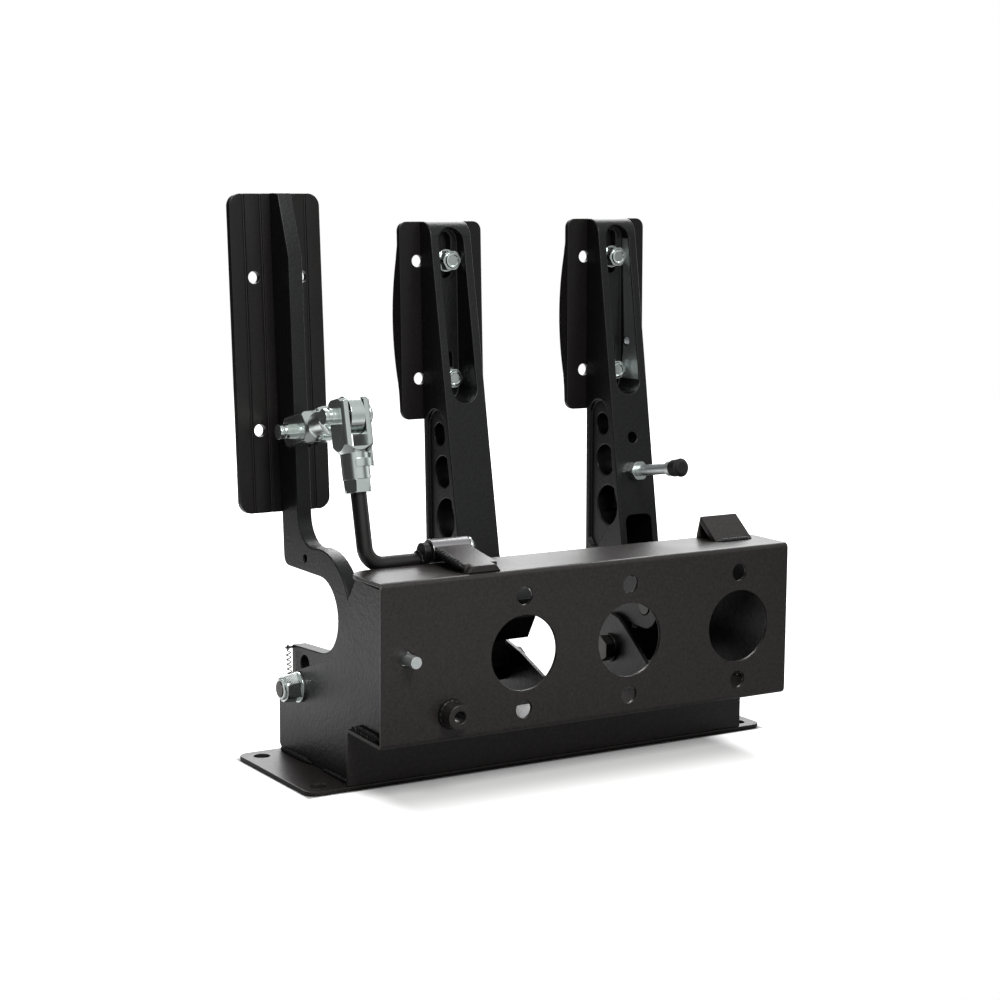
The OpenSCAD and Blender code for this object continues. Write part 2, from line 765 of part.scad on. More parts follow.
// fork from square bar: pin at the origin, neck along +Z
module fork() {
    half = fork_w / 2;
    turned_r = half * 1.3;
    color(zinc) difference() {
        union() {
            // square bar turned round at both ends
            intersection() {
                block([-half, -half, -fork_end], [half, half, fork_square_l]);
                union() {
                    translate([0, 0, -fork_end])
                        cylinder(r1 = turned_r - fork_chamfer, r2 = turned_r, h = fork_chamfer);
                    translate([0, 0, fork_chamfer - fork_end])
                        cylinder(r = turned_r, h = fork_square_l - fork_cone + fork_end - fork_chamfer);
                    translate([0, 0, fork_square_l - fork_cone])
                        cylinder(r1 = turned_r, r2 = neck_fork_r, h = fork_cone);
                }
            }
            translate([0, 0, fork_square_l - 1]) cylinder(r = neck_fork_r, h = fork_l - fork_square_l + 1);
        }
        block([-fork_slot / 2, -half - 1, -fork_end - 1], [fork_slot / 2, half + 1, fork_slot_l]);
        translate([-half - 1, 0, 0]) along_x(rod_r + bore_gap, fork_w + 2);
        translate([0, 0, fork_slot_l - 1]) cylinder(r = rod_r + bore_gap, h = fork_l);
    }
}

pin_left = fork_w / 2 + 7;
pin_right = fork_w / 2 + 3;

// clevis pin along X with a groove near its long end
module fork_pin() {
    color(zinc) difference() {
        translate([-pin_left, 0, 0]) along_x(rod_r, pin_left + pin_right);
        translate([-pin_left + 2, 0, 0]) difference() {
            along_x(rod_r + 1, 1.4);
            translate([-1, 0, 0]) along_x(rod_r - 0.7, 4);
        }
    }
}

// spring clip: an ear on the pin, a strip along the cheek and a ring that snaps round the neck
module fork_clip() {
    x0 = fork_w / 2 + 0.15;
    ring_in = neck_fork_r + 0.15;
    ring_out = x0 + 0.6;
    ring_w = 4;
    ring_z = fork_l - 10;
    color(zinc) difference() {
        union() {
            translate([x0, 0, 0]) along_x(6.5, 1.1);
            block([x0, -2.5, 0], [x0 + 1.1, 2.5, ring_z + ring_w]);
            translate([0, 0, ring_z]) rotate([0, 0, -115]) rotate_extrude(angle = 230)
                translate([ring_in, 0]) square([ring_out - ring_in, ring_w]);
        }
        translate([x0 - 1, 0, 0]) along_x(rod_r + bore_gap, 4);
    }
}

module link_fork() {
    at_pin(link_pin, link_a) fork();
}

module link_pin_bolt() {
    at_pin(link_pin, link_a) fork_pin();
}

module link_clip() {
    at_pin(link_pin, link_a) fork_clip();
}

module link_eye() {
    shank_start = fork_slot_l + 3;
    color(zinc) at_pin(link_pin, link_a) difference() {
        union() {
            translate([0, 0, shank_start]) cylinder(r = rod_r, h = link_l - shank_start - eye_r / 2);
            translate([-eye_t / 2, 0, link_l]) along_x(eye_r, eye_t);
        }
        translate([-eye_t, 0, link_l]) along_x(rod_r + eye_play, 2 * eye_t);
    }
}

module link_lock_nut() {
    color(zinc) at_pin(link_pin, link_a) translate([0, 0, fork_l + 0.1]) nut_z(m8_af, thin_nut_h, rod_r);
}

module lever_fork() {
    at_pin(lever_pin_at, lever_a) fork();
}

module lever_pin() {
    at_pin(lever_pin_at, lever_a) fork_pin();
}

module lever_clip() {
    at_pin(lever_pin_at, lever_a) fork_clip();
}

module lever_lock_nut() {
    color(zinc) at_pin(lever_pin_at, lever_a) translate([0, 0, fork_l + 0.1])
        nut_z(m8_af, lock_nut_h, rod_r);
}

// bent rod: upright into the fork, tight bend, then a leg across to the crank
module lever_rod() {
    leg_l = shaft_tube_x - side_gap - crank_t - throttle_x;
    upright_l = lever_l - fork_slot_l - 3;
    color(dark_steel) at_pin(leg_at, lever_a + 180) {
        translate([0, 0, rod_bend_r]) cylinder(r = rod_r, h = upright_l - rod_bend_r);
        translate([rod_bend_r, 0, rod_bend_r]) rotate([90, 0, 0]) rotate([0, 0, 180])
            rotate_extrude(angle = 90) translate([rod_bend_r, 0]) circle(r = rod_r);
        translate([rod_bend_r, 0, 0]) along_x(rod_r, leg_l - rod_bend_r);
    }
}

// crank plate that joins the leg to the shaft, with the shaft through the tube
module lever_crank() {
    x0 = shaft_tube_x - side_gap - crank_t;
    color(dark_steel) {
        hull() {
            translate([x0, shaft_at[0], shaft_at[1]]) along_x(crank_eye_r, crank_t, $fn = 32);
            translate([x0, leg_at[0], leg_at[1]]) along_x(crank_leg_r, crank_t, $fn = 32);
        }
        translate([x0 + crank_t - eps, shaft_at[0], shaft_at[1]])
            along_x(rod_r, shaft_tube_l + side_gap * 2 + shaft_clip_t + 2);
    }
}

module shaft_clip() {
    color(zinc) translate([shaft_tube_x + shaft_tube_l + side_gap, shaft_at[0], shaft_at[1]])
        rotate([0, 90, 0]) washer_z(rod_r + shaft_clip_w, rod_r, shaft_clip_t);
}

// solid outline of a brake or clutch arm, measured from the pivot
function arm_outline(nz) = concat(
    [[arm_back, arm_h], [arm_back, 45]],
    arc(0, 0, boss_r, -22, -190, 8),
    [[-boss_r - 1, nz - nose_r + 1], [nose_y, nz - nose_r], [nose_y, nz + nose_r]],
    [[arm_front(arm_low_z) - 4, nz + nose_r + 3], [arm_front(arm_low_z), arm_low_z]],
    arc(arm_front(arm_high_z) + arm_round_r, arm_high_z, arm_round_r, 180, 90, 8)
);

// recess in a flank: straight at the back, following the front face, cut off below on a slant
flank_rim = 3.5;
flank_low = 58;
flank_high = pocket_low_z - 3.5;
flank_slant = 76;
flank_arch_r = (arm_back - arm_front(flank_high)) / 2 - flank_rim;
function flank_outline() = concat(
    [[arm_back - flank_rim, flank_low]],
    arc(arm_back - flank_rim - flank_arch_r, flank_high - flank_arch_r, flank_arch_r, 0, 180),
    [[arm_front(flank_slant) + flank_rim, flank_slant]],
    [[arm_back - flank_rim - 8, flank_low - 4], [arm_back - flank_rim - 3, flank_low - 4]]
);

// lightening holes of an arm: height below the long pocket and radius
arm_holes = [[17, 6], [37, 8.5], [62, 11]];
arm_hole_in = 13.4;

module arm_body(nz, right_holes) {
    half = arm_w / 2;
    pocket_high_z = arm_h - pocket_top_rim;
    difference() {
        union() {
            side_plate_of(arm_outline(nz), -half, arm_w);
            translate([-half, nose_y, nz]) along_x(nose_r, arm_w);
        }
        for (s = [-1, 1])
            side_plate_of(flank_outline(), s * (half - flank_recess / 2) - flank_recess / 2 - (s < 0 ? 1 : 0),
                          flank_recess + 1);
        // lightening holes growing towards the frame, cut from the left past the middle and from the right
        for (h = arm_holes)
            translate([-half - 1, arm_front(pocket_low_z - h[0]) + arm_hole_in, pocket_low_z - h[0]])
                along_x(h[1], half + 2);
        for (h = right_holes)
            translate([0, arm_front(pocket_low_z - h[0]) + arm_hole_in, pocket_low_z - h[0]])
                along_x(h[1], half + 1);
        // long pocket in the front face with two adjusting slots in its floor
        block([-pocket_w / 2, -20, pocket_low_z + pocket_w / 2],
              [pocket_w / 2, nut_face_y, pocket_high_z - pocket_w / 2]);
        for (z = [pocket_low_z + pocket_w / 2, pocket_high_z - pocket_w / 2])
            translate([0, -20, z]) along_y(pocket_w / 2, nut_face_y + 20);
        for (s = [-1, 1]) translate([0, nut_face_y - 1, pad_bolt_z + s * pad_bolt_dz / 2 + 3]) {
            block([-slot_w / 2, 0, -slot_l / 2 + slot_w / 2], [slot_w / 2, 10, slot_l / 2 - slot_w / 2]);
            for (e = [-1, 1]) translate([0, 0, e * (slot_l - slot_w) / 2]) along_y(slot_w / 2, 10);
        }
    }
}

// square toe of the brake arm, around the tube of the balance bar
function toe_outline() = [
    [boss_r - 17, brake_nose_z - 20], [nose_y, brake_nose_z], [nose_y - nose_r + 1, brake_nose_z + 6],
    [nose_y - nose_r - 1, brake_nose_z - 3], [nose_y - 5.8, brake_nose_z - 15.5]
];

module brake_arm() {
    boss_l = brake_right_x - brake_left_x - sheet_t - 2 * side_gap;
    color(black) at_pivot(brake_x, brake_lean) difference() {
        union() {
            arm_body(brake_nose_z, arm_holes);
            side_plate_of(toe_outline(), -arm_w / 2, arm_w);
            translate([-boss_l / 2, 0, 0]) along_x(boss_r, boss_l);
        }
        translate([-boss_l, 0, 0]) along_x(sleeve_r + run_gap, 2 * boss_l);
        translate([-arm_w, nose_y, brake_nose_z]) along_x(tube_r, 2 * arm_w);
    }
}

module clutch_arm() {
    boss_left = clutch_left_x + sheet_t + side_gap - clutch_x;
    boss_l = arm_w / 2 + side_gap - boss_left;
    color(black) at_pivot(clutch_x, clutch_lean) difference() {
        union() {
            arm_body(nose_z, [arm_holes[0], arm_holes[1]]);
            translate([boss_left, 0, 0]) along_x(boss_r, boss_l);
        }
        translate([-arm_w, 0, 0]) along_x(sleeve_r + run_gap, 2 * arm_w);
        // pushrod window from the front face down through the nose
        translate([0, window_back_y, 0]) rotate([90, 0, 0]) linear_extrude(60) polygon(window_outline());
        translate([-arm_w, nose_y, nose_z]) along_x(pin_r + bore_gap, 2 * arm_w);
        // threaded hole through the right wall of the long pocket
        translate([0, wall_hole_at[0], wall_hole_at[1]]) along_x(wall_hole_r, arm_w);
        // threaded holes for the stop bolt and its second place
        for (h = stop_holes) stop_axis(h[0]) translate([0, 0, -h[1]]) cylinder(r = m6_r, h = h[1] + 10);
    }
}

pin_r = 5;
window_w = 17;
window_corner = 4;
window_low_z = 12;
window_top_z = 74;
window_back_y = 22;

// pushrod window in a front view: round corners at the top, plain below
function window_outline() = concat(
    [[-window_w / 2, window_low_z], [window_w / 2, window_low_z]],
    arc(window_w / 2 - window_corner, window_top_z - window_corner, window_corner, 0, 90, 4),
    arc(window_corner - window_w / 2, window_top_z - window_corner, window_corner, 90, 180, 4)
);

stop_holes = [[98, 12], [116.5, 8]];
wall_hole_r = 2.2;
wall_hole_at = [21, 168.7];
stop_z0 = stop_holes[0][0];
stop_tip_l = 45;
stop_in = 11;
tip_r = 4.7;
tip_h = 8;
tip_bevel = 1.5;
collar_h = 4;
stop_nut_h = 5;

// axis square to the front face of the clutch arm, pointing forward, from the pivot's frame
front_lean = atan2(arm_front(arm_high_z) - arm_front(arm_low_z), arm_high_z - arm_low_z);
module stop_axis(z) {
    translate([0, arm_front(z), z]) rotate([90 - front_lean, 0, 0]) children();
}

module balance_tube() {
    color(dark_steel) at_pivot(brake_x, brake_lean) translate([-tube_l / 2, nose_y, brake_nose_z]) difference() {
        along_x(tube_r, tube_l);
        translate([-1, 0, 0]) along_x(tube_r - 2, tube_l + 2);
    }
}

// the frame of a brake or clutch pad: origin at the middle of its back
module at_pad(x, lean) {
    at_pivot(x, lean) translate([0, arm_back, pad_mid_z]) children();
}

// side lip: a flat segment of a large circle, turned towards the driver along the straight fold
lip_turn = 62;
pad_corner = 5;
module pad_lip(side) {
    chord = pad_h - 2 * pad_corner + 2;
    big_r = (pow(chord / 2, 2) + pow(lip_h, 2)) / (2 * lip_h);
    translate([side * (pad_w / 2 - 0.6), 0, 0]) rotate([0, 0, side * lip_turn]) intersection() {
        translate([side * (lip_h - big_r), 0, 0]) along_y(big_r, pad_t, $fn = 180);
        block([side > 0 ? 0 : -lip_h - 1, 0, -pad_h / 2], [side > 0 ? lip_h + 1 : 0, pad_t, pad_h / 2]);
    }
}

module pedal_pad(x, lean) {
    color(satin) at_pad(x, lean) difference() {
        union() {
            pad_blank(pad_w, pad_h, pad_t, pad_corner);
            for (side = [-1, 1]) pad_lip(side);
        }
        for (c = [-1, 0, 1], s = [-1, 1])
            translate([c * pad_hole_dx / 2, -1, pad_bolt_z - pad_mid_z + s * pad_bolt_dz / 2])
                along_y(m6_r + hole_gap, pad_t + 2);
    }
}

// the axis of each pad bolt, starting on the driver's face of the pad, towards the driver
module at_pad_bolts(x, lean) {
    at_pivot(x, lean) for (s = [-1, 1])
        translate([0, 0, pad_bolt_z + s * pad_bolt_dz / 2]) children();
}

pad_head_r = 5.2;
pad_head_h = 3.3;

module pad_bolts(x, lean) {
    bolt_end = nut_face_y - washer_t - m6_nut_h - 1;
    face = arm_back + pad_t;
    color(zinc) at_pad_bolts(x, lean) {
        translate([0, bolt_end, 0]) along_y(m6_r, face - bolt_end + eps);
        translate([0, face, 0]) rotate([-90, 0, 0])
            cylinder(r1 = pad_head_r, r2 = pad_head_r - 1.6, h = pad_head_h);
    }
}

module pad_washers(x, lean) {
    color(zinc) at_pad_bolts(x, lean) translate([0, nut_face_y, 0]) rotate([90, 0, 0])
        washer_z(m6_washer_r, m6_r + hole_gap, washer_t);
}

module pad_nuts(x, lean) {
    color(zinc) at_pad_bolts(x, lean) translate([0, nut_face_y - washer_t, 0]) rotate([90, 0, 0])
        nut_z(m6_af, m6_nut_h, m6_r);
}

module brake_pad() {
    pedal_pad(brake_x, brake_lean);
}

module brake_pad_bolts() {
    pad_bolts(brake_x, brake_lean);
}

module brake_pad_washers() {
    pad_washers(brake_x, brake_lean);
}

module brake_pad_nuts() {
    pad_nuts(brake_x, brake_lean);
}

module clutch_pad() {
    pedal_pad(clutch_x, clutch_lean);
}

module clutch_pad_bolts() {
    pad_bolts(clutch_x, clutch_lean);
}

module clutch_pad_washers() {
    pad_washers(clutch_x, clutch_lean);
}

module clutch_pad_nuts() {
    pad_nuts(clutch_x, clutch_lean);
}

module clutch_stop_bolt() {
    color(zinc) at_pivot(clutch_x, clutch_lean) stop_axis(stop_z0) {
        translate([0, 0, -stop_in]) cylinder(r = m6_r, h = stop_tip_l - tip_h + stop_in);
        translate([0, 0, stop_tip_l - tip_h - collar_h]) cylinder(r = tip_r - 0.5, h = collar_h);
    }
}

module clutch_stop_nut() {
    color(zinc) at_pivot(clutch_x, clutch_lean) stop_axis(stop_z0)
        translate([0, 0, 0.05]) nut_z(m6_af, stop_nut_h, m6_r);
}

module clutch_stop_tip() {
    color(rubber_black) at_pivot(clutch_x, clutch_lean) stop_axis(stop_z0)
        translate([0, 0, stop_tip_l - tip_h]) {
            cylinder(r = tip_r, h = tip_h - tip_bevel);
            translate([0, 0, tip_h - tip_bevel - eps])
                cylinder(r1 = tip_r, r2 = tip_r - 1.3, h = tip_bevel);
        }
}

module clutch_pin() {
    color(zinc) at_pivot(clutch_x, clutch_lean) translate([-arm_w / 2 - 0.5, nose_y, nose_z])
        along_x(pin_r, arm_w + 1);
}

base_plate();
front_channel();
left_side_plate();
right_side_plate();
brake_bracket_left();
brake_bracket_right();
clutch_bracket();
clutch_stop_bracket();
linkage_saddle();
linkage_tube();
cable_boss();
throttle_stop_screw();
throttle_stop_nuts();
throttle_pivot_bolt();
brake_pivot_bolt();
clutch_pivot_bolt();
pivot_nuts();
pivot_washers();
throttle_sleeve();
brake_sleeve();
clutch_sleeve();
clutch_spacer();
spring_peg_low();
throttle_spring();
throttle_arm();
throttle_pad();
throttle_pad_screws();
spring_peg_high();
link_fork();
link_pin_bolt();
link_clip();
link_eye();
link_lock_nut();
lever_rod();
lever_fork();
lever_pin();
lever_clip();
lever_lock_nut();
lever_crank();
shaft_clip();
brake_arm();
brake_pad();
brake_pad_bolts();
brake_pad_washers();
brake_pad_nuts();
balance_tube();
clutch_arm();
clutch_pad();
clutch_pad_bolts();
clutch_pad_washers();
clutch_pad_nuts();
clutch_stop_bolt();
clutch_stop_nut();
clutch_stop_tip();
clutch_pin();
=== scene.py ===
import json
import math

import bmesh
import bpy
from mathutils import Matrix, Vector


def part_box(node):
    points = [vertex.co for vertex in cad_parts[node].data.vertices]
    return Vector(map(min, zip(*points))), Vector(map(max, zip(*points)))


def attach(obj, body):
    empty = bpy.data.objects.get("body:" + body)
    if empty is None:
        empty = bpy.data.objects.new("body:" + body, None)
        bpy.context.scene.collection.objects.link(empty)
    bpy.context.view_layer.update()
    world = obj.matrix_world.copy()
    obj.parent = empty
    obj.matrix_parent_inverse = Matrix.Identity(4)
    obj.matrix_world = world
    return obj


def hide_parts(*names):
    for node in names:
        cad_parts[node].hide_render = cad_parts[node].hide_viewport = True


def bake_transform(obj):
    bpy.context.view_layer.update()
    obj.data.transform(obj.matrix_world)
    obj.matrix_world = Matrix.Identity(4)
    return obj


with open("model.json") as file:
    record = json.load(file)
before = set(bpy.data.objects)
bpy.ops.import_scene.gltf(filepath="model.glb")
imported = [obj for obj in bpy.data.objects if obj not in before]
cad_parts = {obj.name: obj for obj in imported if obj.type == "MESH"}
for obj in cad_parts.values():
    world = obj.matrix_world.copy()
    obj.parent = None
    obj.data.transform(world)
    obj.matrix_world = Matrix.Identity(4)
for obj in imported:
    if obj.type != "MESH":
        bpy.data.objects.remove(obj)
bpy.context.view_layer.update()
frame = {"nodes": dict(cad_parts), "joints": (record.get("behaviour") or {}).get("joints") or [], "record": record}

# Studio room.
# Soft light round the pedal box: white behind it, grey in front and above, dark to the left and at the
# front right. Two lamps hang high, a small one in front and a large one behind on the right.
scene = bpy.context.scene
scene.view_settings.view_transform = "Standard"
WHITE = (1, 1, 1, 1)
UP = (0, 0, 1)
CAMERA_LEFT = (-0.854, 0.521, 0)
CAMERA_AHEAD = (0.521, 0.854, 0)
FRONT_RIGHT = (0.75, -0.66, 0)
ROOM_TINT = (0.97, 1, 0.99, 1)
ROOM_WALL = 1.0
# Each side has a direction, where along it the side starts and is full, and a strength.
ROOM_SIDES = {"front": (CAMERA_AHEAD, 0.75, 0.0, 0.60), "right": (FRONT_RIGHT, 0.90, 1.0, 0.08),
              "left": (CAMERA_LEFT, 0.10, 0.45, 0.05), "top": (UP, 0.2, 0.7, 0.6)}
# Share of the room's strength that lights a surface, where a mirror image shows all of it.
ROOM_LIGHT = 0.25


def add_nodes(tree, **kinds):
    """Makes shader nodes by name and returns them in the same order."""
    made = []
    for name, kind in kinds.items():
        node = tree.nodes.new(kind)
        node.name = name
        made.append(node)
    return made


def feed(tree, socket, value):
    """Sets a socket to a number, or links it to the output of another node."""
    if isinstance(value, bpy.types.NodeSocket):
        tree.links.new(value, socket)
    else:
        socket.default_value = value


def combine(tree, operation, first, second):
    """One step of arithmetic on two values."""
    step = tree.nodes.new("ShaderNodeMath")
    step.operation = operation
    feed(tree, step.inputs[0], first)
    feed(tree, step.inputs[1], second)
    return step.outputs[0]


def along(tree, direction, axis, start, full):
    """How far a direction or a place lies along an axis, as a smooth step from 0 to 1."""
    dot, step = add_nodes(tree, dot="ShaderNodeVectorMath", step="ShaderNodeMapRange")
    dot.operation = "DOT_PRODUCT"
    dot.inputs[1].default_value = axis
    tree.links.new(direction, dot.inputs[0])
    step.interpolation_type = "SMOOTHSTEP"
    step.inputs["From Min"].default_value = start
    step.inputs["From Max"].default_value = full
    tree.links.new(dot.outputs["Value"], step.inputs["Value"])
    return step.outputs["Result"]


def toward(tree, amount, before, after):
    """Mixes a strength towards another by an amount from 0 to 1."""
    mix = tree.nodes.new("ShaderNodeMix")
    tree.links.new(amount, mix.inputs["Factor"])
    feed(tree, mix.inputs["A"], before)
    mix.inputs["B"].default_value = after
    return mix.outputs["Result"]


def soft_lamp(name, place, aim, size, power, spread=180):
    """A square studio lamp that faces a point; a grid on it narrows the spread in degrees."""
    data = bpy.data.lights.new(name, "AREA")
    data.size = size
    data.energy = power
    data.spread = math.radians(spread)
    lamp = bpy.data.objects.new(name, data)
    scene.collection.objects.link(lamp)
    lamp.location = place
    lamp.rotation_euler = (Vector(aim) - Vector(place)).to_track_quat("-Z", "Y").to_euler()


world = bpy.data.worlds.new("studio_room")
scene.world = world
world.use_nodes = True
tree = world.node_tree
tree.nodes.clear()
place, room, white, seen, pick, out = add_nodes(
    tree, place="ShaderNodeTexCoord", room="ShaderNodeBackground", white="ShaderNodeBackground",
    seen="ShaderNodeLightPath", pick="ShaderNodeMixShader", out="ShaderNodeOutputWorld")
level = ROOM_WALL
for axis, start, full, strength in ROOM_SIDES.values():
    level = toward(tree, along(tree, place.outputs["Generated"], axis, start, full), level, strength)
share = combine(tree, "MAXIMUM", seen.outputs["Is Glossy Ray"], ROOM_LIGHT)
feed(tree, room.inputs["Strength"], combine(tree, "MULTIPLY", level, share))
room.inputs["Color"].default_value = ROOM_TINT
white.inputs["Color"].default_value = WHITE
tree.links.new(seen.outputs["Is Camera Ray"], pick.inputs["Fac"])
tree.links.new(room.outputs[0], pick.inputs[1])
tree.links.new(white.outputs[0], pick.inputs[2])
tree.links.new(pick.outputs[0], out.inputs["Surface"])
soft_lamp("key_lamp", place=(-0.12, -0.75, 0.85), aim=(-0.12, -0.05, 0.12), size=0.4, power=1.0, spread=70)
soft_lamp("back_lamp", place=(0.60, 1.05, 1.00), aim=(0, 0, 0.1), size=1.2, power=18)

# Studio floor.
# One sheet of white paper under the box. It shows white to the camera and in the metal, but not in
# the shade under and in front of the box, and keeps the soft shadow of the box.
FLOOR_LOW = Vector((-0.50, -0.40, -0.0004))
FLOOR_HIGH = Vector((1.50, 1.80, -0.0004))
PAPER_SEEN = (0.90, 0.90, 0.89, 1)
PAPER_LIT = (0.42, 0.42, 0.42, 1)
SHADE_GLOW = 0.20
FULL_GLOW = 1.0
MIRROR_GLOW = 0.85
# Each limit has an axis, and where along it a mask starts and is full.
SHADOW_ENDS = (((0, -1, 0), 0.060, 0.125), ((1, 0, 0), 0.095, 0.115), ((-1, 0, 0), 0.100, 0.125),
               ((0, 1, 0), -0.01, 0.05))
MIRROR_FRONT = (((0, 1, 0), -0.20, -0.38), ((1, 0, 0), 0.45, 0.0))
MIRROR_BEHIND = (((0, 1, 0), 0.0, 0.2), ((-0.52, 0.85, 0), 0.78, 0.45))
COVER_EDGE = 0.002
low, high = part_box("base_plate")
covered = (((1, 0, 0), low[0] - COVER_EDGE, low[0]), ((1, 0, 0), high[0] + COVER_EDGE, high[0]),
           ((0, 1, 0), low[1] - COVER_EDGE, low[1]), ((0, 1, 0), high[1] + COVER_EDGE, high[1]))


def within(tree, spot, limits):
    """A mask that is full inside all the limits and fades past each of them."""
    mask = along(tree, spot, *limits[0])
    for limit in limits[1:]:
        mask = combine(tree, "MULTIPLY", mask, along(tree, spot, *limit))
    return mask


bm = bmesh.new()
bmesh.ops.create_grid(bm, x_segments=1, y_segments=1, size=0.5)
floor_size = FLOOR_HIGH - FLOOR_LOW
bmesh.ops.scale(bm, verts=bm.verts, vec=(floor_size.x, floor_size.y, 1))
bmesh.ops.translate(bm, verts=bm.verts, vec=(FLOOR_LOW + FLOOR_HIGH) / 2)
floor_mesh = bpy.data.meshes.new("studio_floor")
bm.to_mesh(floor_mesh)
bm.free()
floor = bpy.data.objects.new("studio_floor", floor_mesh)
scene.collection.objects.link(floor)
paper = bpy.data.materials.new("studio_paper")
paper.use_nodes = True
tree = paper.node_tree
tree.nodes.clear()
dull, glow, seen, place, white, both, out = add_nodes(
    tree, dull="ShaderNodeBsdfDiffuse", glow="ShaderNodeEmission", seen="ShaderNodeLightPath",
    place="ShaderNodeTexCoord", white="ShaderNodeMix", both="ShaderNodeAddShader",
    out="ShaderNodeOutputMaterial")
white.data_type = "RGBA"
tree.links.new(seen.outputs["Is Camera Ray"], white.inputs["Factor"])
white.inputs["A"].default_value = PAPER_LIT
white.inputs["B"].default_value = PAPER_SEEN
tree.links.new(white.outputs["Result"], dull.inputs["Color"])
spot = place.outputs["Object"]
level = SHADE_GLOW
for limit in SHADOW_ENDS:
    level = toward(tree, along(tree, spot, *limit), level, FULL_GLOW)
level = toward(tree, within(tree, spot, covered), level, 0.0)
shown = combine(tree, "MULTIPLY", seen.outputs["Is Camera Ray"], level)
mirrors = combine(tree, "MAXIMUM", within(tree, spot, MIRROR_BEHIND), within(tree, spot, MIRROR_FRONT))
mirrored = combine(tree, "MULTIPLY", seen.outputs["Is Glossy Ray"], toward(tree, mirrors, 0.0, MIRROR_GLOW))
feed(tree, glow.inputs["Strength"], combine(tree, "MAXIMUM", shown, mirrored))
tree.links.new(dull.outputs[0], both.inputs[0])
tree.links.new(glow.outputs[0], both.inputs[1])
tree.links.new(both.outputs[0], out.inputs["Surface"])
floor_mesh.materials.append(paper)

# Camera.
# It stands in front and to the left of the box, a little above the pads, with a long lens.
CAMERA_PLACE = (-0.60532, -0.98262, 0.30437)
YAW = math.radians(31.40)
PITCH = math.radians(8.54)
ROLL = math.radians(0.41)
LENS = 79.75
SENSOR = 36
camera_data = bpy.data.cameras.new("camera")
camera_data.lens = LENS
camera_data.sensor_width = SENSOR
camera = bpy.data.objects.new("camera", camera_data)
scene.collection.objects.link(camera)
scene.camera = camera
ahead = Vector((math.sin(YAW) * math.cos(PITCH), math.cos(YAW) * math.cos(PITCH), -math.sin(PITCH)))
flat = Vector((math.cos(YAW), -math.sin(YAW), 0))
upright = flat.cross(ahead)
right = flat * math.cos(ROLL) + upright * math.sin(ROLL)
up = upright * math.cos(ROLL) - flat * math.sin(ROLL)
turn = Matrix((right, up, -ahead)).transposed().to_4x4()
camera.matrix_world = Matrix.Translation(CAMERA_PLACE) @ turn

# Base plate and folded front channel.
# Steel sheet 2.2 mm thick. The channel is one folded sheet: floor wall, step, front plate and top flange.
# Both are welded together and powder coated black, which leaves a fine pebbled skin.
MM = 0.001
TOUCHING = 1e-6
FLAT_ANGLE = math.radians(0.5)
SHARP_ANGLE = math.radians(32)
CREASE_ANGLE = math.radians(38)
# Painted reflection: a pale stretch at the cut left end of the top flange stands in for the white floor seen in
# its edge, in mm down from its top.
REFLECTION_DEPTH = 3.2
REFLECTION_FACING = -0.8


def skin_group(name, **takes):
    """A shader node group with named inputs that gives the colour, roughness and normal of a skin."""
    group = bpy.data.node_groups.new(name, "ShaderNodeTree")
    for socket, kind in takes.items():
        group.interface.new_socket(socket, in_out="INPUT", socket_type="NodeSocket" + kind)
    for socket, kind in (("Base Color", "Color"), ("Roughness", "Float"), ("Normal", "Vector")):
        group.interface.new_socket(socket, in_out="OUTPUT", socket_type="NodeSocket" + kind)
    return group


def skin_material(name, group, **values):
    """Makes a material whose shader takes what a skin group gives, and returns both."""
    material = bpy.data.materials.new(name)
    material.use_nodes = True
    tree = material.node_tree
    shader = tree.nodes["Principled BSDF"]
    skin = tree.nodes.new("ShaderNodeGroup")
    skin.node_tree = group
    for socket, value in values.items():
        skin.inputs[socket].default_value = value
    for socket in skin.outputs:
        tree.links.new(socket, shader.inputs[socket.name])
    return material, shader


def coat_grain_group():
    """Pebbled skin of baked powder: pebbles give the normal and the tone, wide clouds the roughness."""
    group = skin_group("coat_grain", Grain="Float", Depth="Float", Gloss="Float", Tone="Color")
    given, place, pebbles, wide, bump, rough, spread, shade, result = add_nodes(
        group, given="NodeGroupInput", place="ShaderNodeTexCoord", pebbles="ShaderNodeTexNoise",
        wide="ShaderNodeTexNoise", bump="ShaderNodeBump", rough="ShaderNodeMath",
        spread="ShaderNodeMapRange", shade="ShaderNodeMix", result="NodeGroupOutput")
    link = group.links.new
    link(place.outputs["Object"], pebbles.inputs["Vector"])
    link(given.outputs["Grain"], pebbles.inputs["Scale"])
    pebbles.inputs["Detail"].default_value = 2
    link(place.outputs["Object"], wide.inputs["Vector"])
    wide.inputs["Scale"].default_value = 40
    wide.inputs["Detail"].default_value = 3
    link(pebbles.outputs["Fac"], bump.inputs["Height"])
    link(given.outputs["Depth"], bump.inputs["Strength"])
    bump.inputs["Distance"].default_value = 0.0003
    link(bump.outputs["Normal"], result.inputs["Normal"])
    rough.operation = "MULTIPLY_ADD"
    rough.inputs[1].default_value = 0.12
    link(wide.outputs["Fac"], rough.inputs[0])
    link(given.outputs["Gloss"], rough.inputs[2])
    link(rough.outputs[0], result.inputs["Roughness"])
    spread.inputs["From Min"].default_value = 0.25
    spread.inputs["From Max"].default_value = 0.75
    spread.inputs["To Min"].default_value = 0.45
    spread.inputs["To Max"].default_value = 1.5
    spread.clamp = False
    link(pebbles.outputs["Fac"], spread.inputs["Value"])
    shade.data_type = "RGBA"
    shade.blend_type = "MULTIPLY"
    shade.inputs["Factor"].default_value = 0.9
    link(given.outputs["Tone"], shade.inputs["A"])
    link(spread.outputs["Result"], shade.inputs["B"])
    link(shade.outputs["Result"], result.inputs["Base Color"])
    return group


coat_grain = coat_grain_group()


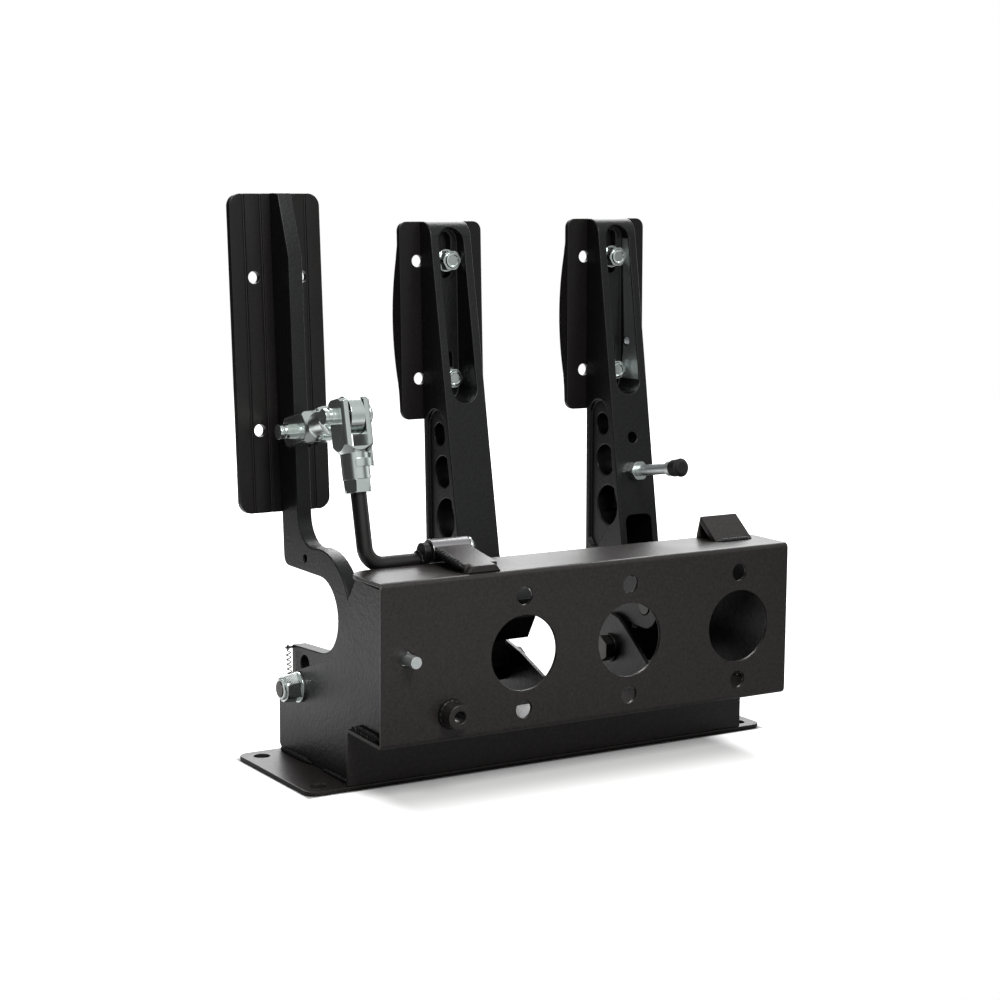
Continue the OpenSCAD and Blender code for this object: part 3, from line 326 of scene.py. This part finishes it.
def coat(name, tone, gloss, grain, depth, specular=0.5):
    """A black powder coat with its own tone, gloss and pebble size."""
    material, shader = skin_material(name, coat_grain, Grain=grain, Depth=depth, Gloss=gloss, Tone=(*tone, 1))
    shader.inputs["Specular IOR Level"].default_value = specular
    return material


body_of = {node: body for body, nodes in frame["record"]["behaviour"]["bodies"].items() for node in nodes}


def finish_mesh(name, bm, material, body):
    """Turns a bmesh into a piece with even shading that rides on a body, if one is named."""
    for edge in bm.edges:
        edge.smooth = edge.calc_face_angle(0) < CREASE_ANGLE
    mesh = bpy.data.meshes.new(name)
    bm.to_mesh(mesh)
    bm.free()
    mesh.materials.append(material)
    mesh.polygons.foreach_set("use_smooth", [True] * len(mesh.polygons))
    piece = bpy.data.objects.new(name, mesh)
    scene.collection.objects.link(piece)
    even = piece.modifiers.new("even_shading", "WEIGHTED_NORMAL")
    even.keep_sharp = True
    if body:
        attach(piece, body)
    return piece


def dress(node, material, edge=0.4, segments=2, split=False):
    """A copy of a solid with its sharp edges rounded by some mm, shown in the solid's place."""
    bm = bmesh.new()
    bm.from_mesh(frame["nodes"][node].data)
    bmesh.ops.remove_doubles(bm, verts=bm.verts, dist=TOUCHING)
    bmesh.ops.dissolve_limit(bm, angle_limit=FLAT_ANGLE, verts=bm.verts, edges=bm.edges)
    if split:
        bmesh.ops.triangulate(bm, faces=bm.faces)
    sharp = [e for e in bm.edges if e.is_manifold and e.calc_face_angle(0) > SHARP_ANGLE]
    bmesh.ops.bevel(bm, geom=sharp, offset=edge * MM, offset_type="OFFSET", affect="EDGES",
                    segments=segments, profile=0.5, clamp_overlap=False, material=-1)
    piece = finish_mesh(node + "_piece", bm, material, body_of[node])
    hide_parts(node)
    return piece


frame_coat = coat("frame_coat", tone=(0.026, 0.0205, 0.020), gloss=0.30, grain=700, depth=0.30)
# Painted reflection: a pale grey coat that stands in for the white floor reflected in the cut left end of the top
# flange.
painted_reflection_coat = coat("painted_reflection_coat", tone=(0.40, 0.40, 0.39), gloss=0.35, grain=900, depth=0.20)
dress("base_plate", frame_coat, edge=0.5)
channel = dress("front_channel", frame_coat, edge=0.5)
channel.data.materials.append(painted_reflection_coat)
# Painted reflection: the faces that look left near the top of the channel take the pale coat.
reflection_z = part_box("front_channel")[1][2] - REFLECTION_DEPTH * MM
for face in channel.data.polygons:
    if face.normal.x < REFLECTION_FACING and face.center.z > reflection_z:
        face.material_index = 1

# Side plates and pivot brackets.
# Flat plates cut from the same sheet, welded upright on the base plate. The arms turn between them.
plate_coat = coat("plate_coat", tone=(0.011, 0.010, 0.010), gloss=0.30, grain=520, depth=0.55)
for node in ("left_side_plate", "right_side_plate", "brake_bracket_left", "brake_bracket_right",
             "clutch_bracket"):
    dress(node, plate_coat)

# Weld beads of the frame.
# Electric welding leaves a row of overlapping drops along each joint; the powder coat covers them.
BEAD_AROUND = 10
FEWEST_STEPS = 12
STEPS_PER_DROP = 6
DROP_ROOT = 0.78
DROP_RISE = 0.22
WAVER = 0.06
WAVER_RATE = 2100
BEAD_END = 0.3
BEAD_TAPER = 4
ASKEW = Vector((0.31, 0.17, 0.93))
weld_coat = coat("weld_coat", tone=(0.006, 0.006, 0.006), gloss=0.30, grain=900, depth=0.10, specular=0.25)


def box_mm(node):
    """The lowest and highest corners of a solid, in mm."""
    return [[value / MM for value in corner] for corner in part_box(node)]


def on_path(path, run):
    """The place and the direction at a distance along a line of points."""
    for a, b in zip(path, path[1:]):
        line = b - a
        if run <= line.length or b is path[-1]:
            break
        run -= line.length
    line.normalize()
    return a + line * run, line


def weld(name, points, r, pitch=2.0, body="frame"):
    """A bead of drops along a line of points, with its radius and the pitch of its drops, all in mm."""
    path = [Vector(point) * MM for point in points]
    length = sum((b - a).length for a, b in zip(path, path[1:]))
    drop_length = pitch * MM
    bm = bmesh.new()
    steps = max(FEWEST_STEPS, int(length / drop_length * STEPS_PER_DROP))
    bmesh.ops.create_grid(bm, x_segments=steps, y_segments=BEAD_AROUND, size=1)
    for v in bm.verts:
        share = (v.co.x + 1) / 2
        turn = (v.co.y + 1) * math.pi
        run = share * length
        centre, line = on_path(path, run)
        side = line.cross(ASKEW).normalized()
        top = side.cross(line)
        drop = abs(math.sin(math.pi * run / drop_length))
        end = min(1.0, BEAD_TAPER * share + BEAD_END, BEAD_TAPER * (1 - share) + BEAD_END)
        size = r * MM * end * (DROP_ROOT + DROP_RISE * drop + WAVER * math.sin(run * WAVER_RATE))
        v.co = centre + (side * math.cos(turn) + top * math.sin(turn)) * size
    bmesh.ops.remove_doubles(bm, verts=bm.verts, dist=TOUCHING)
    bmesh.ops.holes_fill(bm, edges=[e for e in bm.edges if e.is_boundary], sides=0)
    bmesh.ops.recalc_face_normals(bm, faces=bm.faces)
    finish_mesh(name, bm, weld_coat, body)


plate_x = box_mm("left_side_plate")[0][0]
step_x = plate_x - 0.6
base_z = box_mm("base_plate")[1][2] + 0.4
weld("weld_step_left", ((step_x, -71.5, 31.6), (step_x, -45, 32.6)), r=2.7)
weld("weld_base_left", ((plate_x, 4, base_z), (plate_x, 40, base_z)), r=2.4)
weld("weld_base_front", ((plate_x, -38, base_z), (plate_x, -8, base_z)), r=1.7)

# Clutch stop bracket.
# A strip of sheet folded to an upside down V, welded on the top flange along its front edge.
dress("clutch_stop_bracket", frame_coat, edge=0.5)
low, high = box_mm("clutch_stop_bracket")
weld_z = low[2] + 0.2
weld("weld_stop_front", ((low[0] + 1, low[1], weld_z), (high[0] - 1, low[1], weld_z)), r=1.5)

# Saddle of the throttle linkage.
# An inclined plate on the top flange that carries the lever tube, welded along its left edge.
dress("linkage_saddle", frame_coat, edge=0.7, segments=3)
low, high = box_mm("linkage_saddle")
weld("weld_saddle_left", ((low[0], low[1] + 3.5, 111.4), (low[0], high[1] - 1.5, 116.2)), r=2.4, pitch=2.6)

# Boss on the front plate.
# A turned steel boss with a hole, welded to the plate all round and coated with it.
BOSS_WELD_R = 6.2


def circle(steps):
    """Cosine and sine at even steps round a circle, with the first again at the end."""
    turns = [math.tau * i / steps for i in range(steps + 1)]
    return [(math.cos(turn), math.sin(turn)) for turn in turns]


dress("cable_boss", frame_coat, edge=0.6, segments=3)
low, high = box_mm("cable_boss")
boss_x = (low[0] + high[0]) / 2
boss_z = (low[2] + high[2]) / 2
weld_y = high[1] - 0.3
ring = [(boss_x + BOSS_WELD_R * c, weld_y, boss_z + BOSS_WELD_R * s) for c, s in circle(24)]
weld("weld_boss", ring, r=1.5, pitch=2.6)

# Lever tube, throttle stop screw and its nuts.
# Turned steel. The tube is welded to the end of the saddle, and the plated stop screw goes through the
# front plate, with two nuts that lock it from behind.
DULLING = (0.86, 0.92, 0.94)


def plating_group():
    """Clouds that dull a metal's gloss and tint in places, over a faint ripple."""
    group = skin_group("plating", Bright="Color", Dull="Color", Smooth="Float", Rough="Float")
    given, place, cloud, fine, rough, tint, bump, result = add_nodes(
        group, given="NodeGroupInput", place="ShaderNodeTexCoord", cloud="ShaderNodeTexNoise",
        fine="ShaderNodeTexNoise", rough="ShaderNodeMapRange", tint="ShaderNodeMix",
        bump="ShaderNodeBump", result="NodeGroupOutput")
    link = group.links.new
    link(place.outputs["Object"], cloud.inputs["Vector"])
    cloud.inputs["Scale"].default_value = 260
    cloud.inputs["Detail"].default_value = 4
    link(cloud.outputs["Fac"], rough.inputs["Value"])
    link(given.outputs["Smooth"], rough.inputs["To Min"])
    link(given.outputs["Rough"], rough.inputs["To Max"])
    link(rough.outputs["Result"], result.inputs["Roughness"])
    tint.data_type = "RGBA"
    link(cloud.outputs["Fac"], tint.inputs["Factor"])
    link(given.outputs["Bright"], tint.inputs["A"])
    link(given.outputs["Dull"], tint.inputs["B"])
    link(tint.outputs["Result"], result.inputs["Base Color"])
    link(place.outputs["Object"], fine.inputs["Vector"])
    fine.inputs["Scale"].default_value = 900
    link(fine.outputs["Fac"], bump.inputs["Height"])
    bump.inputs["Strength"].default_value = 0.012
    bump.inputs["Distance"].default_value = 0.0002
    link(bump.outputs["Normal"], result.inputs["Normal"])
    return group


plating = plating_group()


def metal(name, color, gloss, scratch):
    """Bare or plated metal with fine variation in its gloss and tint."""
    dull = [part * share for part, share in zip(color, DULLING)]
    material, shader = skin_material(name, plating, Bright=(*color, 1), Dull=(*dull, 1),
                                     Smooth=gloss - scratch, Rough=gloss + scratch)
    shader.inputs["Metallic"].default_value = 1
    return material


zinc = metal("zinc_plate", color=(0.80, 0.83, 0.80), gloss=0.20, scratch=0.05)
satin_zinc = metal("satin_zinc", color=(0.84, 0.85, 0.84), gloss=0.48, scratch=0.08)
dark_steel = metal("dark_steel", color=(0.10, 0.095, 0.09), gloss=0.38, scratch=0.08)
bright_tube = metal("bright_tube", color=(0.36, 0.34, 0.35), gloss=0.36, scratch=0.08)
dress("linkage_tube", bright_tube, edge=0.3)
dress("throttle_stop_screw", satin_zinc, edge=0.3)
dress("throttle_stop_nuts", zinc, edge=0.2)

# Pivot bolts, nuts, washers, sleeves and spacer.
# Steel bolts through the plates, in sleeves that the arms turn on. The nut at the far left has a round
# locking collar, and it and its washer are bright; the other nuts and washers are dark.
TURNED_FACES = 32
# Outline of a collar: shares of the bolt's radius, and heights in mm over the end of the nut.
COLLAR = ((0.74, -0.4), (1.3, -0.4), (1.3, 0.7), (1.18, 1.3), (0.98, 1.45), (0.86, 1.1), (0.74, 0.6))
THREAD_ROOT = 0.02
THREAD_CREST = 0.24
THREAD_CORE = 0.8
THREAD_END = 0.05
OUTSIDE_X = -0.1
pivot_of = {joint["child"]: [value / MM for value in joint["pos_m"]] for joint in frame["joints"]}


def turned(name, start, axis, profile, material, body):
    """A ring turned on a lathe: (radius, height) points in mm along an axis from a start in mm."""
    bm = bmesh.new()
    points = [bm.verts.new((r * MM, 0, h * MM)) for r, h in profile]
    edges = [bm.edges.new((a, b)) for a, b in zip(points, points[1:] + points[:1])]
    bmesh.ops.spin(bm, geom=points + edges, cent=(0, 0, 0), axis=UP, angle=math.tau, steps=TURNED_FACES,
                   use_merge=True)
    bmesh.ops.remove_doubles(bm, verts=bm.verts, dist=TOUCHING)
    bmesh.ops.recalc_face_normals(bm, faces=bm.faces)
    to_axis = Vector(UP).rotation_difference(Vector(axis)).to_matrix().to_4x4()
    bmesh.ops.transform(bm, verts=bm.verts, matrix=Matrix.Translation(Vector(start) * MM) @ to_axis)
    finish_mesh(name, bm, material, body)


def collar(name, start, axis, r, body):
    """The round collar of a locking nut on a bolt of some radius in mm."""
    turned(name, start, axis, [(r * share, height) for share, height in COLLAR], zinc, body)


def thread(name, start, axis, r, length, pitch):
    """The thread on the end of a frame bolt, as close rings, in mm."""
    rows = max(2, int(length / pitch))
    profile = []
    for i in range(rows):
        profile += [(r + THREAD_ROOT, i * pitch), (r + THREAD_CREST, (i + 0.5) * pitch)]
    end = rows * pitch
    profile += [(r + THREAD_ROOT, end), (r * THREAD_CORE, end + THREAD_END), (r * THREAD_CORE, 0)]
    turned(name, start, axis, profile, dark_steel, "frame")


for node in ("throttle_pivot_bolt", "brake_pivot_bolt", "clutch_pivot_bolt"):
    dress(node, dark_steel, edge=0.3)
for node in ("throttle_sleeve", "brake_sleeve", "clutch_sleeve", "clutch_spacer"):
    dress(node, dark_steel, edge=0.2)
for node in ("pivot_nuts", "pivot_washers"):
    piece = dress(node, zinc, edge=0.25)
    piece.data.materials.append(dark_steel)
    for face in piece.data.polygons:
        face.material_index = 1 if face.center.x > OUTSIDE_X else 0
nut_end = box_mm("pivot_nuts")[0][0]
bolt_end = box_mm("throttle_pivot_bolt")[0][0]
pivot_yz = pivot_of["throttle"][1:]
collar("throttle_pivot_collar", (nut_end, *pivot_yz), (-1, 0, 0), r=4.4, body="frame")
thread("throttle_pivot_thread", (bolt_end + 0.1, *pivot_yz), (1, 0, 0), r=3.75, length=nut_end - bolt_end,
       pitch=0.9)

# Return spring of the throttle and its pegs.
# Thin spring wire hooked on a peg of the side plate and on a peg of the foot; the real one stretches with the
# pedal, but this piece is still and rides on no body.
dress("spring_peg_low", dark_steel, edge=0.15)
dress("spring_peg_high", dark_steel, edge=0.15)
bm = bmesh.new()
bm.from_mesh(frame["nodes"]["throttle_spring"].data)
bmesh.ops.remove_doubles(bm, verts=bm.verts, dist=TOUCHING)
spring_wire = metal("spring_wire", color=(0.22, 0.21, 0.20), gloss=0.35, scratch=0.08)
spring = finish_mesh("throttle_spring_piece", bm, spring_wire, None)
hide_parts("throttle_spring")
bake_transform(spring)

# Throttle arm, pad and screws.
# The arm is 8 mm plate cut to shape, with the pad screwed on its rear edge; both are black.
arm_coat = coat("arm_coat", tone=(0.008, 0.008, 0.008), gloss=0.30, grain=620, depth=0.40, specular=0.42)
pad_coat = coat("pad_coat", tone=(0.008, 0.006, 0.006), gloss=0.32, grain=800, depth=0.12, specular=0.4)
dress("throttle_arm", arm_coat, edge=0.6, segments=3)
dress("throttle_pad", pad_coat, split=True)
dress("throttle_pad_screws", dark_steel, edge=0.3)

# Link of the throttle: fork, pin, clip, eye rod and thin nut.
# Square bar forks turned at the neck, with sprung clips over the pins; all zinc plated.
for node in ("link_fork", "link_pin_bolt", "link_clip", "link_eye", "link_lock_nut"):
    dress(node, zinc, edge=0.15)

# Lever of the throttle: fork, pin, clip, lock nut, bent rod, crank and shaft clip.
# The rod is bent from black round bar and welded to the crank, whose shaft turns in the tube.
CRANK_WELD_R = 4.3
ROD_FOOT = (-33.85, 110.3)
rod_coat = coat("rod_coat", tone=(0.010, 0.009, 0.009), gloss=0.26, grain=1300, depth=0.10)
for node in ("lever_fork", "lever_pin", "lever_clip", "lever_lock_nut", "shaft_clip"):
    dress(node, zinc, edge=0.15)
dress("lever_rod", rod_coat, edge=0.2)
dress("lever_crank", rod_coat, edge=0.5, segments=3)
weld_x = box_mm("lever_crank")[0][0] + 0.2
ring = [(weld_x, ROD_FOOT[0] + CRANK_WELD_R * c, ROD_FOOT[1] + CRANK_WELD_R * s) for c, s in circle(16)]
weld("weld_crank", ring, r=1.4, pitch=2.4, body="lever")

# Brake pedal: arm, pad, bolts, washers, nuts and the tube for the balance bar.
# The arm is milled from solid bar with a long front pocket and holes in its flanks, then powder coated.
# Two bolts hold the pad on it, with their nuts in the pocket.
PAD_BOLT_R = 3.3
# Ends of the pad's nuts, behind and above the pivot when the arm stands upright.
NUT_BACK = 19.2
NUT_HEIGHTS = {"upper": 216.0, "lower": 153.0}


def pad_collars(pedal, lean):
    """Collars on the two nuts that hold a pad, in the pocket of an arm that leans back some degrees."""
    x, y, z = pivot_of[pedal]
    tilt = math.radians(lean)
    axis = (0, -math.cos(tilt), math.sin(tilt))
    for name, height in NUT_HEIGHTS.items():
        start = (x, y + NUT_BACK * math.cos(tilt) + height * math.sin(tilt),
                 z - NUT_BACK * math.sin(tilt) + height * math.cos(tilt))
        collar(pedal + "_" + name + "_collar", start, axis, PAD_BOLT_R, pedal)


dress("brake_arm", arm_coat, edge=0.7, segments=3)
dress("brake_pad", pad_coat, edge=0.6, segments=3)
dress("balance_tube", dark_steel)
for node in ("brake_pad_bolts", "brake_pad_washers", "brake_pad_nuts"):
    dress(node, zinc, edge=0.25)
pad_collars("brake", lean=2.4)

# Clutch pedal: arm, pad, bolts, washers, nuts, pushrod pin and stop bolt.
# The same milled arm with a window for the pushrod, and a small cross hole with a bare bore in its right
# wall. The stop bolt has a lock nut and a rubber tip.
WALL_HOLE = Vector((0.1045, 0.04118, 0.20869))
WALL_HOLE_R = 0.0024
WALL_HALF = 0.0026
arm = dress("clutch_arm", arm_coat, edge=0.7, segments=3)
arm.data.materials.append(satin_zinc)
for face in arm.data.polygons:
    apart = face.center - WALL_HOLE
    if abs(apart.x) < WALL_HALF and math.hypot(apart.y, apart.z) < WALL_HOLE_R:
        face.material_index = 1
dress("clutch_pad", pad_coat, edge=0.6, segments=3)
for node in ("clutch_pad_bolts", "clutch_pad_washers", "clutch_pad_nuts", "clutch_stop_nut"):
    dress(node, zinc, edge=0.25)
dress("clutch_stop_bolt", satin_zinc, edge=0.25)
dress("clutch_pin", dark_steel, edge=0.3)
rubber = coat("moulded_rubber", tone=(0.014, 0.014, 0.014), gloss=0.55, grain=1200, depth=0.1, specular=0.4)
dress("clutch_stop_tip", rubber)
pad_collars("clutch", lean=0.7)
